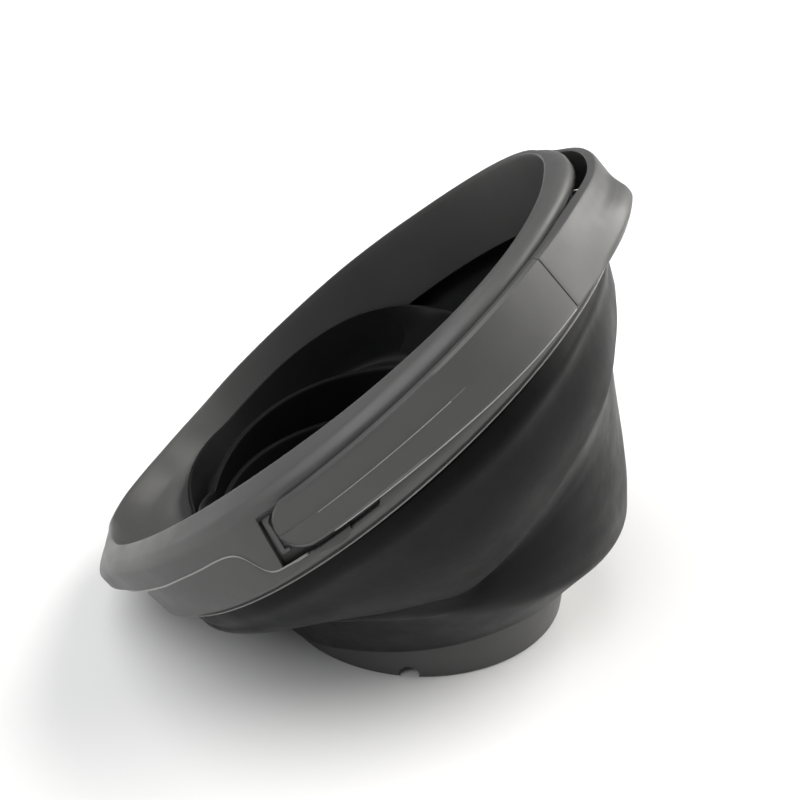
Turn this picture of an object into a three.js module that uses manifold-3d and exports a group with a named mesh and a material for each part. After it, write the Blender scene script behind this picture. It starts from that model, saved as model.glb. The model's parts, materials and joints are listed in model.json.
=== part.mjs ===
// Portable mini washer with a folding tub, in millimetres, +Z up.
// The origin is the middle of the pad that the base stands on; +X is the side of the handle grip, -X the spout.
// The tub is half folded: low on the spout side and drawn up on the grip side, so the rim leans.
import * as THREE from "three";
import { mergeVertices } from "three/addons/utils/BufferGeometryUtils.js";
import Module from "manifold-3d";

const wasm = await Module();
wasm.setup();

// ---- driving dimensions -------------------------------------------------------------------------------------
const GAP = 0.3; // left between touching pieces
const RIM_CENTRE = [-51.5, 0, 157.6]; // middle of the tub's mouth
const RIM_TILT = 41; // degrees that the mouth leans towards the spout
const RIM_DEPTH = 45; // from the mouth down to the silicone
const WALL = 2.6;
const SKIRT_RADIUS = 160.5;
const SKIRT_TOP = -6.6; // where the skirt stops above the handle
const SEAM_RIGHT = -34.4; // top of the collar under the handle
const COLLAR_RADIUS = 160;
const COLLAR_FOOT_RADIUS = 155;

const PIVOT_X = 8; // handle pivot, in the rim's own frame
const PIVOT_Z = -19;
const HANDLE_INNER = 163;
const HANDLE_THICK = 5;
const HANDLE_TOP = -7.3;
const GRIP_DROP = 3.7; // how much lower the top of the grip lies
const GRIP_WIDEN = 2.3;
const ARM_END_RADIUS = 12;
const GRIP_HALF_ANGLE = 33.5; // degrees on either side of +X

const BASE_FOOT_RADIUS = 83.2;
const BASE_FLARE = 2.6;
const CUP_CHAMFER = 2.4;
const BASE_TOP = 36;
const COVER_UNDER = 2.3;
const COVER_THICK = 2.4;
const PAD_RADIUS = 62;
const PAD_THICK = 2;
const RIDGE_RADIUS = 113; // lowest ridge of the bellows
const RIDGE_Z = 61;
const SILICONE = 2.4;
const FLANGE_RADIUS = 66;
const FLANGE_Z = BASE_TOP + GAP + SILICONE / 2;

const DEG = Math.PI / 180;

// ---- shape tools --------------------------------------------------------------------------------------------

// A value read off (angle, value) knots with smooth steps between them; the angle is taken without its sign.
function knots(list, angle) {
  const a = Math.abs(angle);
  let i = 0;
  while (i < list.length - 2 && a > list[i + 1][0]) i += 1;
  const [a0, v0] = list[i];
  const [a1, v1] = list[i + 1];
  const t = Math.min(1, Math.max(0, (a - a0) / (a1 - a0)));
  const before = i > 0 ? (v1 - list[i - 1][1]) / (a1 - list[i - 1][0]) : 0;
  const after = i < list.length - 2 ? (list[i + 2][1] - v0) / (list[i + 2][0] - a0) : 0;
  const span = a1 - a0;
  const h = [2 * t ** 3 - 3 * t ** 2 + 1, t ** 3 - 2 * t ** 2 + t, -2 * t ** 3 + 3 * t ** 2, t ** 3 - t ** 2];
  return h[0] * v0 + h[1] * before * span + h[2] * v1 + h[3] * after * span;
}

function smooth(from, to, x) {
  const t = Math.min(1, Math.max(0, (x - from) / (to - from)));
  return t * t * (3 - 2 * t);
}

function polar(radius, degrees, z) {
  return new THREE.Vector3(radius * Math.cos(degrees * DEG), radius * Math.sin(degrees * DEG), z);
}

// Triangles over a flat outline, all running the same way round as the outline itself.
function capTriangles(outline) {
  const flat = outline.map(([x, y]) => new THREE.Vector2(x, y));
  const area = THREE.ShapeUtils.area(flat);
  return THREE.ShapeUtils.triangulateShape(flat, []).map(([a, b, c]) => {
    const same = THREE.ShapeUtils.area([flat[a], flat[b], flat[c]]) * area > 0;
    return same ? [a, b, c] : [a, c, b];
  });
}

// A closed skin over rings of points. The rings either run round to the first one again or end in flat caps,
// which are cut into triangles by the outlines of the first and last ring.
function skin(rings, capOutlines) {
  const count = rings[0].length;
  const positions = rings.flat().flatMap((p) => [p.x, p.y, p.z]);
  const index = [];
  const last = capOutlines ? rings.length - 1 : rings.length;
  for (let i = 0; i < last; i += 1) {
    const next = (i + 1) % rings.length;
    for (let j = 0; j < count; j += 1) {
      const k = (j + 1) % count;
      const [a, b, c, d] = [i * count + j, next * count + j, next * count + k, i * count + k];
      index.push(a, b, c, a, c, d);
    }
  }
  if (capOutlines) {
    const end = (rings.length - 1) * count;
    for (const triangle of capTriangles(capOutlines[0])) index.push(...triangle);
    for (const [a, b, c] of capTriangles(capOutlines[1])) index.push(a + end, c + end, b + end);
  }
  const geometry = new THREE.BufferGeometry();
  geometry.setAttribute("position", new THREE.Float32BufferAttribute(positions, 3));
  geometry.setIndex(index);
  return geometry;
}

// A solid for cutting and joining, from any closed geometry; it is turned inside out if its volume is negative.
function solid(geometry) {
  const plain = new THREE.BufferGeometry();
  plain.setAttribute("position", geometry.getAttribute("position"));
  plain.setIndex(geometry.getIndex());
  const merged = mergeVertices(plain, 1e-4);
  const points = merged.getAttribute("position");
  const source = Array.from(merged.getIndex().array);
  const triangles = [];
  for (let i = 0; i < source.length; i += 3) {
    const [a, b, c] = source.slice(i, i + 3);
    if (a !== b && b !== c && c !== a) triangles.push([a, b, c]);
  }
  const at = (i) => new THREE.Vector3().fromBufferAttribute(points, i);
  const volume = triangles.reduce((sum, [a, b, c]) => sum + at(a).dot(at(b).cross(at(c))), 0);
  const triVerts = new Uint32Array(triangles.flatMap(([a, b, c]) => (volume > 0 ? [a, b, c] : [a, c, b])));
  const mesh = new wasm.Mesh({ numProp: 3, vertProperties: new Float32Array(points.array), triVerts });
  return new wasm.Manifold(mesh);
}

function geometryOf(body) {
  const mesh = body.getMesh();
  const geometry = new THREE.BufferGeometry();
  geometry.setAttribute("position", new THREE.Float32BufferAttribute(mesh.vertProperties, 3));
  geometry.setIndex(Array.from(mesh.triVerts));
  geometry.computeVertexNormals();
  return geometry;
}

// An upright turned shape from a profile of [radius, z] points that closes on itself or starts and ends on the axis.
function turned(profile, sides) {
  const points = profile.map(([r, z]) => new THREE.Vector2(r, z));
  if (profile[0][0] > 0) points.push(points[0].clone());
  const geometry = new THREE.LatheGeometry(points, sides);
  geometry.rotateX(Math.PI / 2);
  return solid(geometry);
}

function disc(radius, z0, z1, sides = 24, x = 0, y = 0) {
  const geometry = new THREE.CylinderGeometry(radius, radius, z1 - z0, sides);
  geometry.rotateX(Math.PI / 2);
  geometry.translate(x, y, (z0 + z1) / 2);
  return solid(geometry);
}

function box(size, centre) {
  const geometry = new THREE.BoxGeometry(...size);
  geometry.translate(...centre);
  return solid(geometry);
}

// A round bar along Y.
function barY(radius, y0, y1, x, z, sides = 20) {
  const geometry = new THREE.CylinderGeometry(radius, radius, Math.abs(y1 - y0), sides);
  geometry.translate(x, (y0 + y1) / 2, z);
  return solid(geometry);
}

function range(from, to, steps) {
  return Array.from({ length: steps + 1 }, (_, i) => from + ((to - from) * i) / steps);
}

// ---- materials ----------------------------------------------------------------------------------------------

function material(color, roughness, metalness = 0) {
  return new THREE.MeshStandardMaterial({ color, roughness, metalness });
}

const greyPlastic = material(0x5a5b5c, 0.5);
const silicone = material(0x1b1b1d, 0.55);
const darkPlastic = material(0x2b2c2e, 0.5);
const rubber = material(0x161616, 0.85);
const steel = material(0xb8babd, 0.3, 1);
const boardGreen = material(0x1f5a3a, 0.6);

const washer = new THREE.Group();
const rim = new THREE.Group();
rim.position.set(...RIM_CENTRE);
rim.rotation.y = -RIM_TILT * DEG;
washer.add(rim);

function piece(parent, name, body, finish) {
  const mesh = new THREE.Mesh(geometryOf(body), finish);
  mesh.name = name;
  parent.add(mesh);
  return mesh;
}

// ---- rim: shell, collar, pins and catches, all in the rim's own frame ---------------------------------------

// Radius of the mouth's edge by angle from the grip: narrower between the handle's ends, wider at the spout.
const MOUTH_RADIUS = [
  [0, 146.5], [12, 148], [22, 149.8], [35, 151.8], [48, 150.8], [60, 147.5], [71, 144.5], [83, 142.5], [100, 142],
  [116, 143], [124, 145], [132, 147.5], [141, 151.5], [150, 156], [160, 160.5], [172, 164.5], [180, 166],
];
// How far the edge stands above the mouth's plane.
const LIP_RISE = [
  [0, 0], [48, 0], [60, 0.3], [71, 0.8], [83, 1.8], [97, 2.6], [108, 2.6], [120, 2.2], [132, 1.6], [141, 0.8],
  [150, 0], [180, 0],
];
const INNER_FOOT = 145; // radius of the tub's rigid wall where the silicone starts
const SPOUT_TURN = 5; // degrees that the spout points towards the front
const SPOUT_LAG = 9;
const SPOUT_LEAN = 14.5;
const SPOUT_TUCK = 5;
const SCOOP_DEPTH = 2.4;

function spoutAngle(angle) {
  const a = Math.abs(angle) - Math.sign(angle) * SPOUT_TURN * smooth(110, 140, Math.abs(angle));
  return Math.min(a, 360 - a);
}

function mouthRadius(angle) {
  const lag = SPOUT_LAG * smooth(135, 155, angle) * (1 - smooth(170, 180, Math.abs(angle)));
  return knots(MOUTH_RADIUS, Math.abs(angle) - lag);
}

// The rigid wall inside the mouth, with a shallow scoop in it under the spout.
function innerRadius(angle, z) {
  const mouth = mouthRadius(angle);
  const scoop = SCOOP_DEPTH * smooth(163, 172, Math.abs(angle)) * smooth(-23, -15, z);
  return mouth + (z / RIM_DEPTH) * (mouth - INNER_FOOT) + scoop;
}

// The skirt bulges out below the mouth, most of all under the spout.
function skirtRadius(angle) {
  const a = Math.abs(angle);
  const bulge = 0.5 * smooth(92, 100, a) + 14 * smooth(128, 173, spoutAngle(angle));
  return SKIRT_RADIUS - 2 * (1 - smooth(5, 55, a)) + bulge;
}

const RECESS_START = 94;
const RECESS_END = 99;
const RECESS_SLANT = 2.7;
const RECESS_FLOOR = 156.4;

// The wavy seam between the skirt and the collar beside the handle.
const SEAM = [
  [90.5, -35.6], [97.3, -35], [99, -33.4], [100, -29.6], [100.8, -23.4], [101.7, -19.4], [103.2, -17.2],
  [106, -16.2], [111, -16.5], [118, -17.1], [127, -18.9], [150, -20], [180, -20],
];

// How far the recess's slanted wall has moved round by the time it reaches the seam.
function recessShift(angle) {
  const a = Math.abs(angle);
  return a < RECESS_START || a > RECESS_END ? 0 : (RECESS_SLANT * (RECESS_END - a)) / (RECESS_END - RECESS_START);
}

// Lower edge of the skirt: a thin shelf over the handle, and the seam beside it.
function skirtFoot(angle) {
  const a = Math.abs(angle);
  return a < RECESS_START ? SKIRT_TOP - WALL : knots(SEAM, a + recessShift(a)) + GAP;
}

// Both pieces that meet at the seam are divided at the same angles.
const SEAM_STATIONS = [
  98, 99, 99.5, 100, 100.4, 100.8, 101.25, 101.7, 102.4, 103.2, 104.5, 106, 108.5, 111, 114.5, 118, 122.5, 127, 131,
  135, 139, 143, 147, 151, 155, 159, 163, 167, 171, 175, 180,
];

function shellRing(angle) {
  const foot = skirtFoot(angle);
  const skirt = skirtRadius(angle);
  const edge = innerRadius(angle, 0);
  const rise = knots(LIP_RISE, angle);
  const hollowTop = SKIRT_TOP - WALL + 0.2;
  const section = [
    [edge, rise - 0.6],
    [innerRadius(angle, -14), -14],
    [innerRadius(angle, -24), -24],
    [innerRadius(angle, -RIM_DEPTH), -RIM_DEPTH],
    [innerRadius(angle, -RIM_DEPTH) + WALL, -RIM_DEPTH],
    [innerRadius(angle, -26) + WALL, -26],
    [innerRadius(angle, hollowTop) + WALL, hollowTop],
    [skirt - WALL, Math.max(hollowTop, foot + 0.1)],
    [skirt - WALL, foot],
    [skirt, foot],
    [skirt, Math.max(-13, foot + 0.3)],
    [skirt, SKIRT_TOP],
    [skirt - 1.4, -3.9],
    [skirt - 4.6, -1.4 + rise * 0.25],
    [edge + 1.2, rise],
  ];
  const spout = smooth(146, 172, spoutAngle(angle));
  return section.map(([r, z]) => {
    const outer = r > skirt - WALL - 0.1 || (r > edge + 2 && z > SKIRT_TOP);
    const push = outer ? SPOUT_LEAN * smooth(-1, -14, z) - SPOUT_TUCK * smooth(edge + 2, skirt, r) : 0;
    const drop = Math.max(0, SKIRT_TOP - z) / (SKIRT_TOP - SEAM_RIGHT);
    const slant = r > skirt - WALL - 0.1 ? drop * recessShift(angle) : 0;
    return polar(r + spout * push, angle + Math.sign(angle) * slant, z);
  });
}

const shellSide = [
  ...range(0, 88, 22), RECESS_START - 0.15, RECESS_START, 96.5, ...SEAM_STATIONS,
];
const shellAnglesAll = [...shellSide.slice(1, -1).map((a) => -a).reverse(), ...shellSide];

function pinBoss(side) {
  return barY(7.5, side * 144.8, side * (HANDLE_INNER - 2.2), PIVOT_X, PIVOT_Z, 24);
}

function pinHole(side) {
  return barY(3 + GAP / 2, side * 152, side * HANDLE_INNER, PIVOT_X, PIVOT_Z, 16);
}

// The floor of each recess, behind the handle's end.
function recessFloor(side) {
  const outline = [[144.6, -10], [144.6, -34.2], [RECESS_FLOOR, -34.2], [RECESS_FLOOR, -10]];
  const rings = range(82, RECESS_END - 0.6, 6).map((a) => outline.map(([r, z]) => polar(r, side * a, z)));
  return solid(skin(rings, [outline, outline]));
}

// The L-shaped rib on that floor, which stops the handle's end.
function recessRib(side) {
  const outline = [
    [92.3, -9.4], [93.2, -9.9], [93.9, -12], [95.4, -29.2], [95.1, -30.2], [93.5, -30.2], [93.4, -28.8],
    [94.3, -28.4], [92.9, -13.6], [91.6, -11.2], [91.7, -9.8],
  ];
  const rings = [RECESS_FLOOR - 1, 159.4].map((r) => outline.map(([a, z]) => polar(r, side * a, z)));
  return solid(skin(rings, [outline, outline]));
}

let shell = solid(skin(shellAnglesAll.map(shellRing)));
for (const side of [-1, 1]) {
  shell = shell.add(recessFloor(side)).add(recessRib(side));
  shell = shell.add(pinBoss(side)).subtract(pinHole(side));
}
piece(rim, "upper_shell", shell, greyPlastic);

// The collar closes the skirt from below and clamps the top of the bellows.
// Its top edge drops into a slot under the handle, which the catch sits in and slides along.
const COLLAR_TOP = [
  [0, SEAM_RIGHT], [76.2, SEAM_RIGHT], [77.4, -36.8], [89.8, -36.8], [90.5, -35.6],
];

function steps(table, a) {
  let i = 0;
  while (i < table.length - 2 && a > table[i + 1][0]) i += 1;
  const [[a0, v0], [a1, v1]] = [table[i], table[i + 1]];
  return v0 + (v1 - v0) * smooth(a0, a1, a);
}

function collarTop(angle) {
  const a = Math.abs(angle);
  return a < COLLAR_TOP.at(-1)[0] ? steps(COLLAR_TOP, a) : knots(SEAM, a);
}

function collarRing(angle) {
  const top = collarTop(angle);
  const bore = (z) => innerRadius(angle, z) + WALL + GAP;
  const side = COLLAR_RADIUS + 1.6 * smooth(92, 96, Math.abs(angle)) + 2 * smooth(150, 180, Math.abs(angle));
  const section = [
    [bore(-39), -39],
    [bore(-RIM_DEPTH), -RIM_DEPTH],
    [COLLAR_FOOT_RADIUS + 1.6, -RIM_DEPTH],
    [COLLAR_FOOT_RADIUS + 1.6, -RIM_DEPTH + 0.9],
    [COLLAR_FOOT_RADIUS + 0.9, -RIM_DEPTH + 1.5],
    [side, Math.min(-38.9, top - 1)],
    [side, top],
    [side - WALL, top],
    [side - WALL, Math.min(-39, top - 0.4)],
  ];
  return section.map(([r, z]) => polar(r, angle, z));
}

const collarSide = [
  ...range(0, 72, 16), 76.2, 76.8, 77.4, 80, 83, 86, 89.8, 90.5, 92, 94, 96, 97.3,
  ...SEAM_STATIONS,
];
const collarAngles = [...collarSide.slice(1, -1).map((a) => -a).reverse(), ...collarSide];
piece(rim, "collar_ring", solid(skin(collarAngles.map(collarRing))), greyPlastic);

// Each catch is a small slider in the collar's slot, under the handle's end, with a plate over the collar's face.
const CATCH_LOW = [[83, -38.3], [84.2, -39.8], [85.5, -40.1], [89, -38.4], [89.8, -38.2]];

function catchSection(a) {
  const low = knots(CATCH_LOW, a);
  return [[157.7, -36.5], [160.3, -36.5], [160.3, low - 0.1], [161.5, low], [161.6, -36.4], [161.3, -35.5], [157.7, -35.7]];
}

for (const [name, side] of [["handle_catch_front", -1], ["handle_catch_rear", 1]]) {
  const angles = range(83.1, 89.6, 6);
  const rings = angles.map((a) => catchSection(a).map(([r, z]) => polar(r, side * a, z)));
  piece(rim, name, solid(skin(rings, [catchSection(angles[0]), catchSection(angles.at(-1))])), greyPlastic);
}

for (const [name, side] of [["handle_pin_front", -1], ["handle_pin_rear", 1]]) {
  piece(rim, name, barY(3, side * (152 + GAP), side * (HANDLE_INNER + 2.9), PIVOT_X, PIVOT_Z, 16), steel);
}

// ---- handle: two arms, a grip and the screws that join them ---------------------------------------------------

const GRIP_BEVEL = [[0, -1.4], [0.06, -0.7], [0.14, 0], [1, 0]];
const FLARE_OUTER = [[0, 0], [0.34, 0], [0.45, 1.2], [0.57, 3.4], [0.7, 5.4], [0.8, 5.8], [0.9, 5.2], [1, 2]];
const FLARE_INNER = [[0, 0], [0.4, 0], [0.57, 2.2], [0.7, 4], [0.85, 4.4], [1, 1.8]];

// The lower half of the grip swells out where the fingers go; the swelling stops short on the rear half.
function flare(angle) {
  return angle < -3 ? 1 - smooth(8, 30, -angle) : 1 - smooth(-3, 8, angle);
}

function handleFoot(angle) {
  return knots([[0, -37.5], [20, -37.5], [42, -36.8], [53, -35.5], [63, -33.7], [76, -32], [96, -31]], angle);
}

// Cross-section of the handle: plain and flat along the arms with a fine step half way down; wider, bevelled and
// flared along the grip.
function handleSection(angle) {
  const foot = handleFoot(angle);
  const top = HANDLE_TOP - GRIP_DROP * smooth(-22, 2, angle) * (1 - smooth(28, 42, angle));
  const grip = 1 - smooth(16, 40, Math.abs(angle));
  const inner = HANDLE_INNER + GRIP_WIDEN * smooth(-28, -2, angle) * grip;
  const outer = HANDLE_INNER + GRIP_WIDEN * grip + HANDLE_THICK;
  const crease = 0.55 * smooth(50, 62, Math.abs(angle));
  const swell = flare(angle);
  const at = (share) => top - share * (top - foot);
  const face = (share, inset) => {
    return [outer - inset + swell * knots(FLARE_OUTER, share) + grip * knots(GRIP_BEVEL, share), at(share)];
  };
  const inside = [0, 0.4, 0.6, 0.8, 1].map((t) => [inner + swell * knots(FLARE_INNER, t), at(t)]);
  const lower = [face(1, 0.8), face(0.96, 0), face(0.8, 0), face(0.66, 0), face(0.535, 0)];
  const upper = [face(0.52, crease), face(0.34, crease), face(0.12, crease)];
  return [...inside, ...lower, ...upper, [outer - 1.3 - grip * 2.8, top]];
}

function handleLength(angles) {
  const rings = angles.map((a) => handleSection(a).map(([r, z]) => polar(r, a, z)));
  return solid(skin(rings, [handleSection(angles[0]), handleSection(angles.at(-1))]));
}

// The end of an arm is rounded about its pivot.
function roundEnd(side) {
  const reach = HANDLE_INNER;
  const shape = new THREE.Shape();
  shape.moveTo(reach, HANDLE_TOP + 6);
  shape.lineTo(reach, -44);
  shape.lineTo(PIVOT_X, -44);
  shape.lineTo(PIVOT_X, PIVOT_Z - ARM_END_RADIUS);
  shape.absarc(PIVOT_X, PIVOT_Z, ARM_END_RADIUS, -Math.PI / 2, Math.PI / 2, true);
  shape.lineTo(PIVOT_X, HANDLE_TOP + 6);
  const geometry = new THREE.ExtrudeGeometry(shape, { depth: 100, bevelEnabled: false, curveSegments: 12 });
  geometry.rotateX(Math.PI / 2);
  geometry.translate(0, side < 0 ? -75 : 175, 0);
  return solid(geometry);
}

for (const [name, side] of [["handle_arm_front", -1], ["handle_arm_rear", 1]]) {
  const length = handleLength(range(side * 94, side * (GRIP_HALF_ANGLE + 0.15), 15)).intersect(roundEnd(side));
  const bore = barY(3 + GAP, side * (HANDLE_INNER - 6), side * (HANDLE_INNER + 3.2), PIVOT_X, PIVOT_Z, 16);
  piece(rim, name, length.subtract(bore), greyPlastic);
}
piece(rim, "handle_grip", handleLength(range(-GRIP_HALF_ANGLE, GRIP_HALF_ANGLE, 16)), greyPlastic);

// ---- bellows: one silicone wall, folded on the spout side and drawn out on the grip side ----------------------

const tilt = RIM_TILT * DEG;

function fromRim(radius, angle, z) {
  const p = polar(radius, angle, z);
  const x = p.x * Math.cos(tilt) - p.z * Math.sin(tilt) + RIM_CENTRE[0];
  return new THREE.Vector3(x, p.y, p.x * Math.sin(tilt) + p.z * Math.cos(tilt) + RIM_CENTRE[2]);
}

// Heights and radii of the folds by angle from the grip, in the rim's own frame.
const BEAD_RADIUS = [[0, 146.5], [18, 149.5], [30, 151], [57, 151.5], [94, 151.3], [180, 151]];
const BEAD_DEPTH = [[0, -50], [19, -50.3], [30, -51.6], [43, -54.8], [57, -56.9], [70, -55.9], [79, -55.7], [94, -54], [180, -53]];
const DIP_RADIUS = [[0, 143], [28, 147], [45, 148], [60, 148], [81, 148.5], [180, 148.5]];
const DIP_DEPTH = [[0, -57], [28, -57.6], [45, -61.6], [59, -64.2], [70, -63.6], [81, -62.6], [94, -61], [180, -60]];
const FIRST_RADIUS = [
  [0, 135.5], [15, 135.5], [30, 133], [56, 121], [80, 113.5], [90, 116], [97, 121], [110, 131], [128, 145],
  [150, 149], [180, 149],
];
const FIRST_DEPTH = [
  [0, -73.5], [15, -78.5], [30, -90], [56, -105], [80, -115], [90, -109], [97, -100], [110, -84], [128, -70],
  [150, -65], [180, -65],
];
const UPPER_REAR = [
  [76, -70], [84, -59.4], [87, -53], [93, -39.6], [100, -29.6], [108, -22.5], [117, -18.2], [127.5, -15.8],
  [139, -15.4], [150, -15.4], [158, -13.7], [166, -15], [172, -19], [177, -26.3], [180, -32.6],
];
const UPPER_FRONT = [
  [76, -70], [84, -59.4], [87, -53], [93, -39.6], [100, -29.6], [108, -22.5], [117, -18.2], [127.5, -16.8],
  [139, -17.4], [150, -19.5], [158, -22.5], [166, -27], [172, -31.5], [180, -32.6],
];
const UPPER_RADIUS = 141;
const OPENED = [[0, 0], [0.1, -3], [0.25, -4.3], [0.4, -3.4], [0.6, -1.1], [0.8, 0.8], [1, 0]];
const SAG_Z = [[0, 29], [30, 29], [52, 28.5], [72, 25], [91, 20.5], [105, 16.5], [118, 11.5], [132, 7], [180, 4]];

function cupRadius(z) {
  return BASE_FOOT_RADIUS + BASE_FLARE * Math.min(1, z / 30);
}

// The ridges and valleys that the wall passes at one azimuth, from the collar down to the base. The last fold
// hangs down outside the base's cup, and the wall then climbs over the cup's edge to lie under the clamp ring.
function meridian(angle) {
  const folded = angle > 0 ? smooth(62, 86, angle) : smooth(72, 96, -angle);
  const deep = smooth(84, 125, Math.abs(angle));
  const top = fromRim(151.2, angle, -RIM_DEPTH - 1.1 + 0.7 * smooth(10, 32, Math.abs(angle)));
  const bead = fromRim(knots(BEAD_RADIUS, angle) + 0.6, angle, knots(BEAD_DEPTH, angle));
  const dip = fromRim(knots(DIP_RADIUS, angle), angle, knots(DIP_DEPTH, angle));
  const first = fromRim(knots(FIRST_RADIUS, angle), angle, knots(FIRST_DEPTH, angle));
  const bulge = dip.clone().lerp(first, 0.5).add(polar(2.6 * smooth(5, 40, Math.abs(angle)), angle, 0));
  const ridge = polar(RIDGE_RADIUS + 2 * (1 - folded), angle, RIDGE_Z + 5 * (1 - folded));
  const open = (t) => first.clone().lerp(ridge, t).add(polar(knots(OPENED, t), angle, 0));
  const upper = fromRim(UPPER_RADIUS, angle, knots(angle > 0 ? UPPER_REAR : UPPER_FRONT, Math.max(76, Math.abs(angle))));
  const back = fromRim(139.5, angle, -50).lerp(first, 0.12);
  const fall = Math.max(0, (Math.abs(angle) - 105) / 75) ** 2;
  const middle = polar(126 - 3 * fall, angle, 86 - 29 * fall);
  const outerValley = upper.clone().lerp(middle, 0.55).add(new THREE.Vector3(0, 0, -8 - 13 * deep));
  const innerValley = middle.clone().lerp(ridge, 0.5).add(new THREE.Vector3(0, 0, -6 - 20 * deep));
  const fold = (shut, t) => open(t).lerp(shut, folded);
  const sag = knots(SAG_Z, angle);
  const beside = (gap, z) => polar(cupRadius(z) + GAP + SILICONE / 2 + gap, angle, z);
  const hanging = beside(2.8, sag + 3);
  const lower = hanging.clone().lerp(ridge, 0.45).add(polar(-0.8 + 2.3 * smooth(20, 70, Math.abs(angle)), angle, 0));
  return [
    top, bead, dip, bulge, first, fold(back, 0.2), fold(upper, 0.34), fold(outerValley, 0.5), fold(middle, 0.66),
    fold(innerValley, 0.83), ridge, lower, hanging, beside(1.4, sag + SILICONE / 2), beside(0, sag + 3),
    beside(0.4, BASE_TOP - CUP_CHAMFER - 0.2), polar(cupRadius(30) - 1.4, angle, FLANGE_Z),
    polar(FLANGE_RADIUS, angle, FLANGE_Z),
  ];
}

// The sharp corners of the meridian are cut off, so that ridges and valleys are rounded.
function rounded(points, cut) {
  const soft = [0, 1, 2, 3, ...range(0, 6, 6).map((i) => points.length - 1 - i)];
  return points.flatMap((p, i) => {
    if (soft.includes(i)) return [p];
    return [points[i - 1], points[i + 1]].map((other) => {
      const reach = Math.min(cut, 0.35 * p.distanceTo(other));
      return p.clone().add(other.clone().sub(p).setLength(reach));
    });
  });
}

// Both faces of the wall at one azimuth: the middle line moved half the thickness to either side.
function bellowsRing(angle) {
  const line = rounded(meridian(angle), 3.2);
  const out = polar(1, angle, 0);
  const flat = line.map((p) => new THREE.Vector2(p.dot(out), p.z));
  const sides = line.map((p, i) => {
    const before = flat[Math.max(0, i - 1)];
    const after = flat[Math.min(flat.length - 1, i + 1)];
    const along = after.clone().sub(before).normalize();
    return [1, -1].map((s) => {
      const step = out.clone().multiplyScalar(-along.y * s).add(new THREE.Vector3(0, 0, along.x * s));
      return p.clone().addScaledVector(step, SILICONE / 2);
    });
  });
  return [...sides.map((s) => s[0]), ...sides.map((s) => s[1]).reverse()];
}

const BELLOWS_STATIONS = 60;
const bellowsAngles = range(-180, 180, BELLOWS_STATIONS).slice(0, -1);
piece(washer, "bellows", solid(skin(bellowsAngles.map(bellowsRing))), silicone);

// ---- base: housing, clamp ring, cover, pad --------------------------------------------------------------------

const NOTCH_RADIUS = 5.4;
const NOTCH_X = 3.6;
const BUTTON_RADIUS = 5.2;
const BUTTON_Z = 11.4;

let housing = turned([
  [BASE_FOOT_RADIUS, 0.3],
  [cupRadius(30), 30],
  [cupRadius(30), BASE_TOP - CUP_CHAMFER],
  [cupRadius(30) - CUP_CHAMFER, BASE_TOP],
  [8, BASE_TOP],
  [8, BASE_TOP - WALL],
  [cupRadius(30) - WALL, BASE_TOP - WALL],
  [BASE_FOOT_RADIUS - WALL, 0.3],
], 60);
housing = housing.subtract(barY(NOTCH_RADIUS, -90, -70, NOTCH_X, 2, 20));
housing = housing.subtract(barY(BUTTON_RADIUS + 0.4, 70, 90, 0, BUTTON_Z, 24));
piece(washer, "base_housing", housing, greyPlastic);

const CLAMP_SCREWS = 6;
const clampScrewAt = (i) => polar(72, 30 + i * 60, 0);
const clampUnder = FLANGE_Z + SILICONE / 2 + GAP;
let clamp = turned([
  [64, clampUnder], [80, clampUnder], [80, clampUnder + 2], [77, clampUnder + 3.6], [66, clampUnder + 3.6],
  [64, clampUnder + 2],
], 48);
for (let i = 0; i < CLAMP_SCREWS; i += 1) {
  const { x, y } = clampScrewAt(i);
  clamp = clamp.subtract(disc(3.4, clampUnder + 1.6, clampUnder + 10, 12, x, y));
}
piece(washer, "bellows_clamp_ring", clamp, darkPlastic);
for (let i = 0; i < CLAMP_SCREWS; i += 1) {
  const { x, y } = clampScrewAt(i);
  const z = clampUnder + 1.6 + GAP;
  piece(washer, `clamp_screw_${i + 1}`, disc(3, z, z + 1.8, 12, x, y), steel);
}

const COVER_RADIUS = 78;
const COVER_SCREWS = 4;
const coverScrewAt = (i) => polar(71, 45 + i * 90, 0);
const coverTop = COVER_UNDER + COVER_THICK;
let cover = disc(COVER_RADIUS, COVER_UNDER, coverTop, 60);
for (let i = 0; i < COVER_SCREWS; i += 1) {
  const { x, y } = coverScrewAt(i);
  cover = cover.subtract(disc(3.4, 0, COVER_UNDER + 1.2, 12, x, y));
}
cover = cover.subtract(box([13.6, 24, 10], [NOTCH_X, -72.7, 4]));
piece(washer, "bottom_cover", cover, darkPlastic);
for (let i = 0; i < COVER_SCREWS; i += 1) {
  const { x, y } = coverScrewAt(i);
  piece(washer, `cover_screw_${i + 1}`, disc(3, COVER_UNDER - 0.8, COVER_UNDER + 1.2 - GAP, 12, x, y), steel);
}
piece(washer, "base_pad", disc(PAD_RADIUS, 0, PAD_THICK, 60), rubber);

// ---- drive: motor, bearing, seal, shaft, pulsator ---------------------------------------------------------------

const MOTOR_RADIUS = 21;
const MOTOR_TOP = 29;
const motor = disc(MOTOR_RADIUS, 9, MOTOR_TOP, 36).add(disc(7, MOTOR_TOP - 1, 31, 24)).subtract(disc(2.6, 20, 40, 16));
piece(washer, "motor", motor, steel);

let bracket = turned([[24, coverTop + GAP], [27, coverTop + GAP], [27, 8.4], [24, 8.4]], 36);
bracket = bracket.add(disc(27, 6.6, 8.6, 36));
piece(washer, "motor_mount", bracket, darkPlastic);

const bearing = turned([[2.6, 32], [7.6, 32], [7.6, 35], [2.6, 35]], 24);
piece(washer, "shaft_bearing", bearing, steel);
const seal = turned([[2.6, 35.3], [7.6, 35.3], [7.6, 36.6], [5, 37.4], [2.6, 37.4]], 24);
piece(washer, "shaft_seal", seal, rubber);
piece(washer, "drive_shaft", disc(2.2, 20.4, 43.5, 16), steel);

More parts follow.
